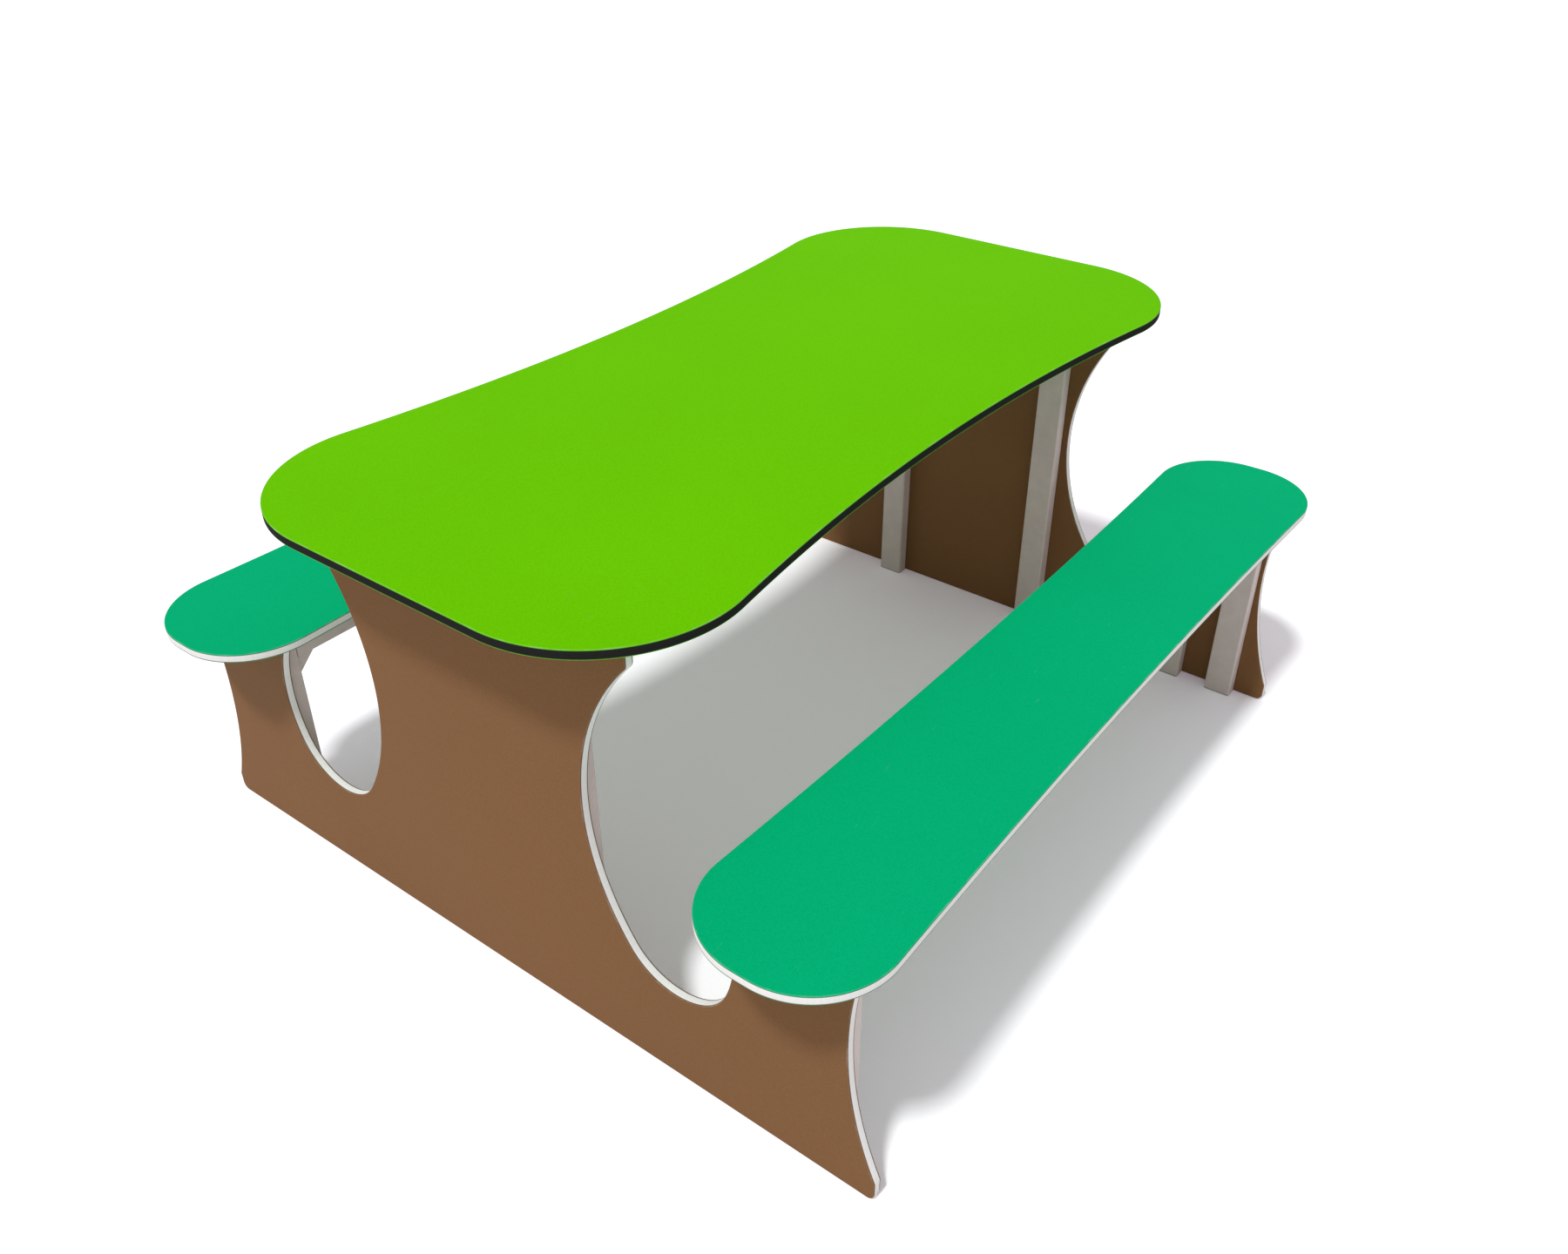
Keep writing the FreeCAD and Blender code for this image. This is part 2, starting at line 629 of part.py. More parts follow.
def make_feet(label, board):
    """Plastic feet: a flange between each post and the floor, with a plug up inside the tube."""
    body = new_body(label)
    flange = new_sketch(body, "XY_Plane", "flange")
    rounded_rectangle(flange, dim.tube_depth, dim.tube_width, tube_corner)
    base = pad(body, flange, dim.foot_flange)
    section = new_sketch(body, "XY_Plane", "plug", z=dim.foot_flange)
    inset = (dim.tube_wall + dim.foot_clearance) * 2
    rounded_rectangle(section, dim.tube_depth - inset, dim.tube_width - inset, dim.tube_bend)
    plug = pad(body, section, dim.foot_plug)
    post_x = panel_inner - dim.tube_depth / 2
    pattern(body, [base, plug], ("X_Axis", post_x * 2, 2), ("Y_Axis", board.post_spacing, 2))
    place(body, post_x * -1, board.middle - board.post_spacing / 2)


def make_board_fixings(board):
    """Screws up through the fixing plates, and the inserts that they turn into."""
    screws = new_body(f"{board.label}_screws")
    screw = make_screw(screws, dim.plate_thickness + insert_length - dim.screw_gap)
    pattern(screws, [screw], *board.grid)
    inserts = new_body(f"{board.label}_inserts")
    insert = make_insert(inserts)
    pattern(inserts, [insert], *board.grid)
    for body, height in ((screws, board.underside - dim.plate_thickness), (inserts, board.underside)):
        place(body, board.plate_x * -1, board.middle - board.screw_row, height)


def make_post_fixings(board):
    """Screws out through the posts, and the inserts in the end panels that they turn into."""
    screws = new_body(f"{board.prefix}_post_screws")
    screw = make_screw(screws, dim.tube_depth + insert_length - dim.screw_gap, y=rail_end)
    inserts = new_body(f"{board.prefix}_post_inserts")
    insert = make_insert(inserts, z=panel_inner)
    rows = [("Y_Axis", board.post_spacing, 2)]
    if board.screw_rows > 1:
        rows.append(("X_Axis", dim.table_screw_pitch * (board.screw_rows - 1), board.screw_rows))
    for body, feature in ((screws, screw), (inserts, insert)):
        pattern(body, [feature], *rows)
        mirror(body, "XY_Plane")
        place(body, 0, board.middle - board.post_spacing / 2, board.screw_z, ALONG_TABLE)


def make_frame(board):
    """Everything that carries one board: posts, rails, gussets, plates, feet and fixings."""
    for side, side_name in board.sides:
        make_rail(f"{board.prefix}_{side_name}_rail", board, side)
        make_plates(f"{board.prefix}_{side_name}_plates", board, side)
        for end, end_name in ((-1, "left"), (1, "right")):
            make_post(f"{board.prefix}_{side_name}_post_{end_name}", board, side, end)
            make_gusset(f"{board.prefix}_{side_name}_gusset_{end_name}", board, side, end)
    make_feet(f"{board.prefix}_post_feet", board)
    make_board_fixings(board)
    make_post_fixings(board)


def describe(kind, prefix, label, middle, sides):
    """Gather the sizes of one board and of the frame below it."""
    board = SimpleNamespace(prefix=prefix, label=label, middle=middle, sides=sides)
    for item in ("width", "end_flat", "hollow", "plate_count"):
        setattr(board, item, getattr(dim, f"{kind}_{item}"))
    board.length = dim.panel_span + getattr(dim, f"{kind}_overhang") * 2
    board.underside = getattr(dim, f"{kind}_height") - dim.sheet_thickness
    board.rail_low = board.underside - dim.plate_thickness - dim.tube_width
    if kind == "top":
        board.post_spacing = dim.table_post_spacing
        board.screw_rows = 2
        board.screw_z = board.rail_low - dim.table_screw_drop - dim.table_screw_pitch
    else:
        board.post_spacing = dim.bench_post_spacing
        board.screw_rows = 1
        board.screw_z = board.rail_low - dim.bench_screw_drop
    board.outer_side = board.post_spacing / 2 + dim.tube_width / 2
    board.screw_row = board.outer_side - dim.tube_depth - dim.plate_reach / 2
    board.plate_x = rail_end - dim.plate_margin
    board.grid = (("X_Axis", board.plate_x * 2, board.plate_count), ("Y_Axis", board.screw_row * 2, 2))
    return board


table = describe("top", "table", "table_top", as_size(0), ((-1, "front"), (1, "rear")))
front = describe("bench", "front_bench", "front_bench_seat", dim.bench_offset * -1,
                 ((-1, "outer"), (1, "inner")))
rear = describe("bench", "rear_bench", "rear_bench_seat", dim.bench_offset, ((-1, "inner"), (1, "outer")))
make_panel("end_panel_left", (table, rear), -1)
make_panel("end_panel_right", (table, rear), 1)
for board in (table, front, rear):
    make_board(board)
    make_frame(board)

doc.recompute()
for item in doc.Objects:
    require(not {"Invalid", "Error"} & set(item.State), f"{item.Name} is {item.State}")
    if item.TypeId == "Sketcher::SketchObject":
        require(item.FullyConstrained, f"{item.Name} isn't fully constrained")
os.makedirs("parts", exist_ok=True)
for body in parts:
    require(not body.Shape.isNull() and body.Shape.isValid(), f"{body.Label} has no valid shape")
    body.Shape.exportStep(f"parts/{body.Label}.step")
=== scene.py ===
import bmesh
import bpy
import math
from mathutils import Matrix, Vector


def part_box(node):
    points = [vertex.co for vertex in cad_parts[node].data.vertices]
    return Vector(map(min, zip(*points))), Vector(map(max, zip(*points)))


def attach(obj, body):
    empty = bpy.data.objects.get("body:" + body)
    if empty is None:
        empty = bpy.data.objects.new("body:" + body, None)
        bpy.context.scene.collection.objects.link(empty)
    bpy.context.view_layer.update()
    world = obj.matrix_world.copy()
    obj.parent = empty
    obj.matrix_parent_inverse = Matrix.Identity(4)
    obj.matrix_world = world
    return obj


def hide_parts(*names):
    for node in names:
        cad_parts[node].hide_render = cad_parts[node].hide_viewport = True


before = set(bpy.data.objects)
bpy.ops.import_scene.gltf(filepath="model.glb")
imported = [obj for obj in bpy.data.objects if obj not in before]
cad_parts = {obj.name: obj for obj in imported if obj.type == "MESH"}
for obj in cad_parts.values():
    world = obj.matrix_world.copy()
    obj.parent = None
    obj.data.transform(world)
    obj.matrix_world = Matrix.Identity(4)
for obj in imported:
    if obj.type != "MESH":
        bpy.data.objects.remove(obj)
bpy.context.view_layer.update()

# Sizes in metres. The frame gives the boxes of the sheets, and these give the curves inside them.
TOP_END_FLAT = 0.343
TOP_HOLLOW = 0.045
SEAT_END_FLAT = 0.023
SEAT_HOLLOW = 0.0105
TRUNK_HALF_WAIST = 0.2115
TRUNK_WAIST_HEIGHT = 0.432
SHOULDER_HALF = 0.313
SHOULDER_EDGE = 0.034
SHOULDER_ROUND = 0.012
NOTCH_BOTTOM = 0.1665
NOTCH_LEAN = 0.0517
NOTCH_SWELL = 0.0087
STUB_INNER_RADIUS = 0.230
STUB_INNER = 0.0915
STUB_OUTER = 0.0877
STUB_WAIST_HEIGHT = 0.275
STUB_FLARE_RADIUS = 0.602
FOOT_EDGE = 0.034
FOOT_ROUND = 0.012

# Layers and edges of a sheet.
SKIN = 0.0018  # coloured layer on each face
SKIN_WANDER = 0.00025  # unevenness of the line between a skin and the core
SKIN_BLUR = 0.00012  # half of the width in which one becomes the other
SEAM = 0.0009  # reach of the painted shade line between them
SEAM_SOLID = 0.0001  # reach of its darkest part
EASED = 0.0013  # rounding of the cut edges
RIM_MARGIN = 1e-5  # slack where the section of a rim is cut
RIM_SAME_POINT = 2e-5  # points of a rim and a face closer than this are one

# Edges of the other pieces. The rounding goes by the kind of CAD node.
BROKEN = {"rail": 0.0003, "plates": 0.0005, "post": 0.0003, "gusset": 0.0004, "post_feet": 0.0006}
SAME_POINT = 1e-6  # points of a CAD mesh closer than this are one
SAME_PLANE = math.radians(0.5)  # faces that turn less than this are merged
BREAK_ANGLE = math.radians(40)  # edges that turn more than this are broken
CRISP_ANGLE = math.radians(50)  # edges that turn more than this stay crisp

# Screws and weld beads, by the names of the inputs of their trees.
HEAD = {"Head Radius": 0.007, "Head Height": 0.0044, "Socket Width": 0.005, "Shank Radius": 0.004}
SOCKET_LIFT = 0.95  # height of the socket's middle, as a share of the head's height
BEAD = {"Bead Radius": 0.0026, "Ripple Pitch": 0.003, "Ripple Depth": 0.00055}
PLATE_WELD_INSET = 0.003  # from the side of a fixing plate to the end of its bead

# Colours in linear light, and how much of some of them shows.
GREEN_SKIN = (0.133, 0.528, 0.0003, 1.0)
TEAL_SKIN = (0.001, 0.417, 0.173, 1.0)
BROWN_SKIN = (0.226, 0.111, 0.049, 1.0)
TOP_CORE = (0.018, 0.019, 0.018, 1.0)
SEAT_CORE = (0.9, 0.88, 0.87, 1.0)
PANEL_CORE = (0.9, 0.87, 0.865, 1.0)
SCUFFED_SKIN = (0.8, 0.8, 0.78, 1.0)
SCUFF_SHARE = 0.035
WORN_SKIN = (0.75, 0.75, 0.72, 1.0)
# Painted shade for the line where each skin meets the core.
SEAM_PAINTED_SHADE = (0.03, 0.027, 0.024, 1.0)
GREY_COAT = (0.68, 0.575, 0.555, 1.0)
RUBBED_COAT = (0.7, 0.69, 0.67, 1.0)
RUB_SHARE = 0.18
WORN_COAT = (0.74, 0.73, 0.71, 1.0)
ZINC = (0.62, 0.62, 0.6, 1.0)
BRASS = (0.72, 0.52, 0.24, 1.0)
FOOT_GREY = (0.42, 0.39, 0.37, 1.0)
FOOT_DUST = (0.3, 0.29, 0.27, 1.0)
FOOT_DUST_SHARE = 0.3
FOOT_DUST_HEIGHT = 0.003

# Shine and relief of the finishes, and the stretch of their streaks in X, Y and Z.
BOARD_SHINE = 0.008
PANEL_SHINE = 0.03
COAT_SHINE = 0.3
SCUFF_ROUGHNESS = 0.12
FINE_RELIEF = 0.35  # against the pebbled grain
CHATTER_RELIEF = 1.4  # against the fine cutter marks
SCUFF_STRETCH = (9.0, 55.0, 30.0)
RUB_STRETCH = (14.0, 60.0, 120.0)
ZINC_STRETCH = (900.0, 900.0, 60.0)
BRASS_STRETCH = (900.0, 900.0, 80.0)

# Studio and camera. The camera sees the floor in other colours than those that light the table.
WHITE = (1.0, 1.0, 1.0, 1.0)
AMBIENT = 0.52
LAMP_STRENGTH = 2.0
LAMP_ANGLE = math.radians(6.5)
LAMP_AIM = Vector((0.51, -0.01, -1.0))
FLOOR_WHITE = (0.9, 0.9, 0.9, 1.0)
FLOOR_SHOWN = (1.06, 1.085, 1.09, 1.0)
FLOOR_GLOW = (0.12, 0.082, 0.122, 1.0)
FLOOR_REACH = 60.0
FLOOR_LEVEL = -0.0003
CAMERA_PLACE = (-1.6136, -1.2391, 1.6125)
CAMERA_AZIMUTH = math.radians(-52.8637)
CAMERA_ELEVATION = math.radians(33.6091)
CAMERA_LENS = 30.873
CAMERA_SENSOR = 36.0
CAMERA_REACH = 300.0

ENDS = ("left", "right")
FRAMES = {"table": ("front", "rear"), "front_bench": ("outer", "inner"),
          "rear_bench": ("inner", "outer")}
BOARDS = {"table": "table_top", "front_bench": "front_bench_seat", "rear_bench": "rear_bench_seat"}

# Axes, and the numbers of sockets whose names are shared or differ between kinds of data.
X, Y, Z = range(3)
VALUE, FROM_LOW, FROM_HIGH, TO_LOW, TO_HIGH = range(5)
SHARE, FLOAT_A, FLOAT_B, COLOUR_A, COLOUR_B = 0, 2, 3, 6, 7
FLOAT_RESULT, COLOUR_RESULT = 0, 2
INT_A, INT_B = 2, 3
STORED_NAME, STORED_VALUE = 2, 3

# Stands a flat sheet up: its X becomes Y, its Y becomes Z and its thickness runs along X.
STAND_UP = Matrix(((0, 0, 1, 0), (1, 0, 0, 0), (0, 1, 0, 0), (0, 0, 0, 1)))


def add(tree, kind, inputs=None, **settings):
    """New node: settings are its properties, and inputs are values or sockets to link."""
    item = tree.nodes.new(kind)
    for key, value in settings.items():
        setattr(item, key, value)
    for key, value in (inputs or {}).items():
        if isinstance(value, bpy.types.NodeSocket):
            tree.links.new(value, item.inputs[key])
        else:
            item.inputs[key].default_value = value
    return item


def math_node(tree, operation, first, second=0.0, third=0.0):
    inputs = {0: first, 1: second, 2: third}
    return add(tree, "ShaderNodeMath", inputs, operation=operation).outputs[0]


def ramp(tree, value, start, end, low=0.0, high=1.0, kind="SMOOTHSTEP"):
    """Run of a value from low at start to high at end."""
    inputs = {VALUE: value, FROM_LOW: start, FROM_HIGH: end, TO_LOW: low, TO_HIGH: high}
    return add(tree, "ShaderNodeMapRange", inputs, interpolation_type=kind).outputs[0]


def blend_colours(tree, share, first, second, kind="MIX"):
    inputs = {SHARE: share, COLOUR_A: first, COLOUR_B: second}
    mix = add(tree, "ShaderNodeMix", inputs, data_type="RGBA", blend_type=kind)
    return mix.outputs[COLOUR_RESULT]


def blend_values(tree, share, first, second):
    inputs = {SHARE: share, FLOAT_A: first, FLOAT_B: second}
    return add(tree, "ShaderNodeMix", inputs, data_type="FLOAT").outputs[FLOAT_RESULT]


def noise(tree, place, scale, detail=2.0, roughness=0.5):
    inputs = {"Vector": place, "Scale": scale, "Detail": detail, "Roughness": roughness}
    return add(tree, "ShaderNodeTexNoise", inputs).outputs["Fac"]


def stretched(tree, place, scale):
    """Coordinates scaled apart in X, Y and Z, for streaks."""
    return add(tree, "ShaderNodeMapping", {"Vector": place, "Scale": scale}).outputs[0]


def streaks(tree, place, axis, along, across, detail=2.0):
    """Noise drawn out along one axis."""
    scale = [across] * 3
    scale[axis] = along
    return noise(tree, stretched(tree, place, scale), scale=1.0, detail=detail)


def tone(tree, colour, value, low, high):
    """Multiply a colour by a grey that runs from low to high over the middle of a noise."""
    grey = ramp(tree, value, start=0.25, end=0.75, low=low, high=high, kind="LINEAR")
    return blend_colours(tree, 1.0, colour, grey, "MULTIPLY")


def rough_range(tree, value, low, high):
    """Roughness that runs from low to high over the middle of a noise."""
    return ramp(tree, value, start=0.3, end=0.7, low=low, high=high, kind="LINEAR")


def new_material(name):
    """Material with its Principled shader and Object coordinates."""
    material = bpy.data.materials.new(name)
    material.use_nodes = True
    tree = material.node_tree
    shader = tree.nodes["Principled BSDF"]
    place = add(tree, "ShaderNodeTexCoord").outputs["Object"]
    return material, tree, shader, place


def bump(tree, shader, height, distance, strength):
    inputs = {"Height": height, "Distance": distance, "Strength": strength}
    tree.links.new(add(tree, "ShaderNodeBump", inputs).outputs[0], shader.inputs["Normal"])


def edge_wear(tree, place, scale, most):
    """Share of wear, in patches along the rounded edges only."""
    edges = add(tree, "ShaderNodeAttribute", attribute_name="worn").outputs["Fac"]
    patches = noise(tree, place, scale, detail=4.0, roughness=0.6)
    patches = ramp(tree, patches, start=0.45, end=0.7, low=0.15, high=1.0)
    return math_node(tree, "MULTIPLY", math_node(tree, "MULTIPLY", edges, patches), most)


def sheet_plastic(name, skin, core, axis, low, high, shine):
    """Two-colour sheet: grained skins on both faces, and a core with cutter marks on the edges."""
    material, tree, shader, place = new_material(name)
    split = add(tree, "ShaderNodeSeparateXYZ", {0: place})
    depth = math_node(tree, "ABSOLUTE", split.outputs[axis])
    wander = noise(tree, place, scale=160.0)
    wander = math_node(tree, "MULTIPLY_ADD", wander, SKIN_WANDER, -SKIN_WANDER / 2)
    depth = math_node(tree, "ADD", depth, wander)
    above = ramp(tree, depth, low + SKIN - SKIN_BLUR, low + SKIN + SKIN_BLUR)
    below = ramp(tree, depth, high - SKIN - SKIN_BLUR, high - SKIN + SKIN_BLUR, low=1.0, high=0.0)
    inside = math_node(tree, "MULTIPLY", above, below)

    # The skins have a pebbled grain with painted shade on its cells, darker towards their borders,
    # faint clouds and specks, and pale scuffs and edges.
    grain = add(tree, "ShaderNodeTexVoronoi", {"Vector": place, "Scale": 640.0},
                feature="SMOOTH_F1").outputs["Distance"]
    fine = noise(tree, place, scale=2600.0, detail=3.0)
    cloud = noise(tree, place, scale=3.5, detail=4.0)
    speckle = noise(tree, place, scale=420.0)
    # Painted shade of the grain's relief: each cell darker towards its border.
    grain_relief_shade = ramp(tree, grain, start=0.1, end=0.7, low=1.05, high=0.93)
    skin_colour = tone(tree, skin, cloud, low=0.975, high=1.02)
    skin_colour = tone(tree, skin_colour, speckle, low=0.97, high=1.03)
    skin_colour = blend_colours(tree, 1.0, skin_colour, grain_relief_shade, "MULTIPLY")
    scuff_place = stretched(tree, place, SCUFF_STRETCH)
    scuffs = noise(tree, scuff_place, scale=3.0, detail=6.0, roughness=0.65)
    scuffs = ramp(tree, scuffs, start=0.66, end=0.74)
    scuff_share = math_node(tree, "MULTIPLY", scuffs, SCUFF_SHARE)
    skin_colour = blend_colours(tree, scuff_share, skin_colour, SCUFFED_SKIN)
    wear = edge_wear(tree, place, scale=34.0, most=0.16)
    skin_colour = blend_colours(tree, wear, skin_colour, WORN_SKIN)

    # The cutter leaves fine marks and wider chatter across the thickness of the core.
    marks = streaks(tree, place, axis, along=25.0, across=900.0)
    chatter = streaks(tree, place, axis, along=2.0, across=70.0, detail=1.0)
    core_colour = tone(tree, core, marks, low=0.94, high=1.03)
    core_colour = tone(tree, core_colour, cloud, low=0.97, high=1.02)
    colour = blend_colours(tree, inside, skin_colour, core_colour)

    # A dark line of painted shade sits where each skin meets the core, standing in for the shaded
    # edges of the skins.
    to_low = math_node(tree, "SUBTRACT", depth, low)
    to_high = math_node(tree, "SUBTRACT", high, depth)
    to_face = math_node(tree, "MINIMUM", to_low, to_high)
    from_seam = math_node(tree, "ABSOLUTE", math_node(tree, "SUBTRACT", to_face, SKIN))
    seam = ramp(tree, from_seam, SEAM_SOLID, SEAM, low=1.0, high=0.0)
    seam_shade_strength = ramp(tree, cloud, start=0.2, end=0.8, low=0.9, high=0.6)
    colour = blend_colours(tree, math_node(tree, "MULTIPLY", seam, seam_shade_strength), colour, SEAM_PAINTED_SHADE)
    tree.links.new(colour, shader.inputs["Base Color"])

    skin_rough = rough_range(tree, speckle, low=0.5, high=0.62)
    skin_rough = math_node(tree, "MULTIPLY_ADD", scuffs, SCUFF_ROUGHNESS, skin_rough)
    core_rough = rough_range(tree, marks, low=0.55, high=0.75)
    rough = blend_values(tree, inside, skin_rough, core_rough)
    tree.links.new(rough, shader.inputs["Roughness"])
    shader.inputs["Specular IOR Level"].default_value = shine

    skin_height = math_node(tree, "MULTIPLY_ADD", fine, FINE_RELIEF, grain)
    core_height = math_node(tree, "MULTIPLY_ADD", chatter, CHATTER_RELIEF, marks)
    height = blend_values(tree, inside, skin_height, core_height)
    bump(tree, shader, height, distance=0.0001, strength=0.6)
    return material


def grey_coating(name):
    """Light grey coat on steel: fine peel, faint mottling, thin rubs and worn edges."""
    material, tree, shader, place = new_material(name)
    mottle = noise(tree, place, scale=38.0, detail=5.0, roughness=0.6)
    peel = noise(tree, place, scale=620.0)
    dust = noise(tree, place, scale=6.0, detail=3.0)
    colour = tone(tree, GREY_COAT, mottle, low=0.93, high=1.05)
    colour = tone(tree, colour, dust, low=0.97, high=1.02)
    rubs = noise(tree, stretched(tree, place, RUB_STRETCH), scale=2.0, detail=5.0)
    rubs = ramp(tree, rubs, start=0.68, end=0.75)
    colour = blend_colours(tree, math_node(tree, "MULTIPLY", rubs, RUB_SHARE), colour, RUBBED_COAT)
    wear = edge_wear(tree, place, scale=55.0, most=0.35)
    colour = blend_colours(tree, wear, colour, WORN_COAT)
    tree.links.new(colour, shader.inputs["Base Color"])
    tree.links.new(rough_range(tree, mottle, low=0.42, high=0.58), shader.inputs["Roughness"])
    shader.inputs["Specular IOR Level"].default_value = COAT_SHINE
    bump(tree, shader, peel, distance=0.00005, strength=0.5)
    return material


def bare_metal(name, colour, stretch, smoothest, roughest):
    """Metal with turned lines and stains: screws and inserts."""
    material, tree, shader, place = new_material(name)
    stain = noise(tree, place, scale=90.0, detail=4.0, roughness=0.6)
    lines = noise(tree, stretched(tree, place, stretch), scale=1.0)
    colour = tone(tree, colour, stain, low=0.82, high=1.08)
    colour = tone(tree, colour, lines, low=0.95, high=1.04)
    tree.links.new(colour, shader.inputs["Base Color"])
    tree.links.new(rough_range(tree, stain, smoothest, roughest), shader.inputs["Roughness"])
    shader.inputs["Metallic"].default_value = 1.0
    bump(tree, shader, lines, distance=0.00003, strength=0.5)
    return material


def moulded_plastic(name):
    """Grey moulded plastic with a spark-eroded grain, dusty towards the floor."""
    material, tree, shader, place = new_material(name)
    grain = noise(tree, place, scale=1500.0)
    cloud = noise(tree, place, scale=60.0, detail=3.0)
    height = add(tree, "ShaderNodeSeparateXYZ", {0: place}).outputs["Z"]
    colour = tone(tree, FOOT_GREY, cloud, low=0.9, high=1.08)
    dust = ramp(tree, height, start=0.0, end=FOOT_DUST_HEIGHT, low=1.0, high=0.0)
    dust = math_node(tree, "MULTIPLY", math_node(tree, "MULTIPLY", dust, cloud), FOOT_DUST_SHARE)
    colour = blend_colours(tree, dust, colour, FOOT_DUST)
    tree.links.new(colour, shader.inputs["Base Color"])
    tree.links.new(rough_range(tree, grain, low=0.55, high=0.7), shader.inputs["Roughness"])
    bump(tree, shader, grain, distance=0.00004, strength=0.6)
    return material


def recipe(name, sizes):
    """Geometry Nodes tree with named inputs: the tree, its end nodes and the keys of the names."""
    tree = bpy.data.node_groups.new(name, "GeometryNodeTree")
    sockets = tree.interface
    sockets.new_socket("Geometry", in_out="INPUT", socket_type="NodeSocketGeometry")
    keys = {}
    kinds = {**dict.fromkeys(sizes, "NodeSocketFloat"), "Finish": "NodeSocketMaterial"}
    for label, kind in kinds.items():
        keys[label] = sockets.new_socket(label, in_out="INPUT", socket_type=kind).identifier
    sockets.new_socket("Geometry", in_out="OUTPUT", socket_type="NodeSocketGeometry")
    return tree, add(tree, "NodeGroupInput"), add(tree, "NodeGroupOutput"), keys


def close_recipe(tree, given, result, geometry):
    """End of a tree: instances become a mesh, and the mesh gets its material."""
    real = add(tree, "GeometryNodeRealizeInstances", {0: geometry}).outputs[0]
    inputs = {"Geometry": real, "Material": given.outputs["Finish"]}
    tree.links.new(add(tree, "GeometryNodeSetMaterial", inputs).outputs[0], result.inputs[0])


def run_recipe(tree, keys, base, values):
    """Mesh that a tree makes from a base mesh."""
    holder = bpy.data.objects.new("recipe_base", base)
    bpy.context.scene.collection.objects.link(holder)
    modifier = holder.modifiers.new("recipe", "NODES")
    modifier.node_group = tree
    for label, value in values.items():
        modifier[keys[label]] = value
    graph = bpy.context.evaluated_depsgraph_get()
    mesh = bpy.data.meshes.new_from_object(holder.evaluated_get(graph), depsgraph=graph)
    bpy.data.objects.remove(holder)
    return mesh


def moved(tree, geometry, x=0.0, z=0.0):
    """Geometry moved by values or sockets."""
    offset = add(tree, "ShaderNodeCombineXYZ", {X: x, Z: z}).outputs[0]
    inputs = {"Geometry": geometry, "Translation": offset}
    return add(tree, "GeometryNodeTransform", inputs).outputs[0]


def joined(tree, *geometries):
    whole = add(tree, "GeometryNodeJoinGeometry")
    for geometry in geometries:
        tree.links.new(geometry, whole.inputs[0])
    return whole.outputs[0]


def mesh_to_curve(tree, mesh, selection=True):
    inputs = {"Mesh": mesh, "Selection": selection}
    return add(tree, "GeometryNodeMeshToCurve", inputs).outputs[0]


def stored(tree, geometry, name, value, kind, domain):
    """Geometry with a value kept under a name."""
    inputs = {0: geometry, STORED_NAME: name, STORED_VALUE: value}
    return add(tree, "GeometryNodeStoreNamedAttribute", inputs,
               data_type=kind, domain=domain).outputs[0]


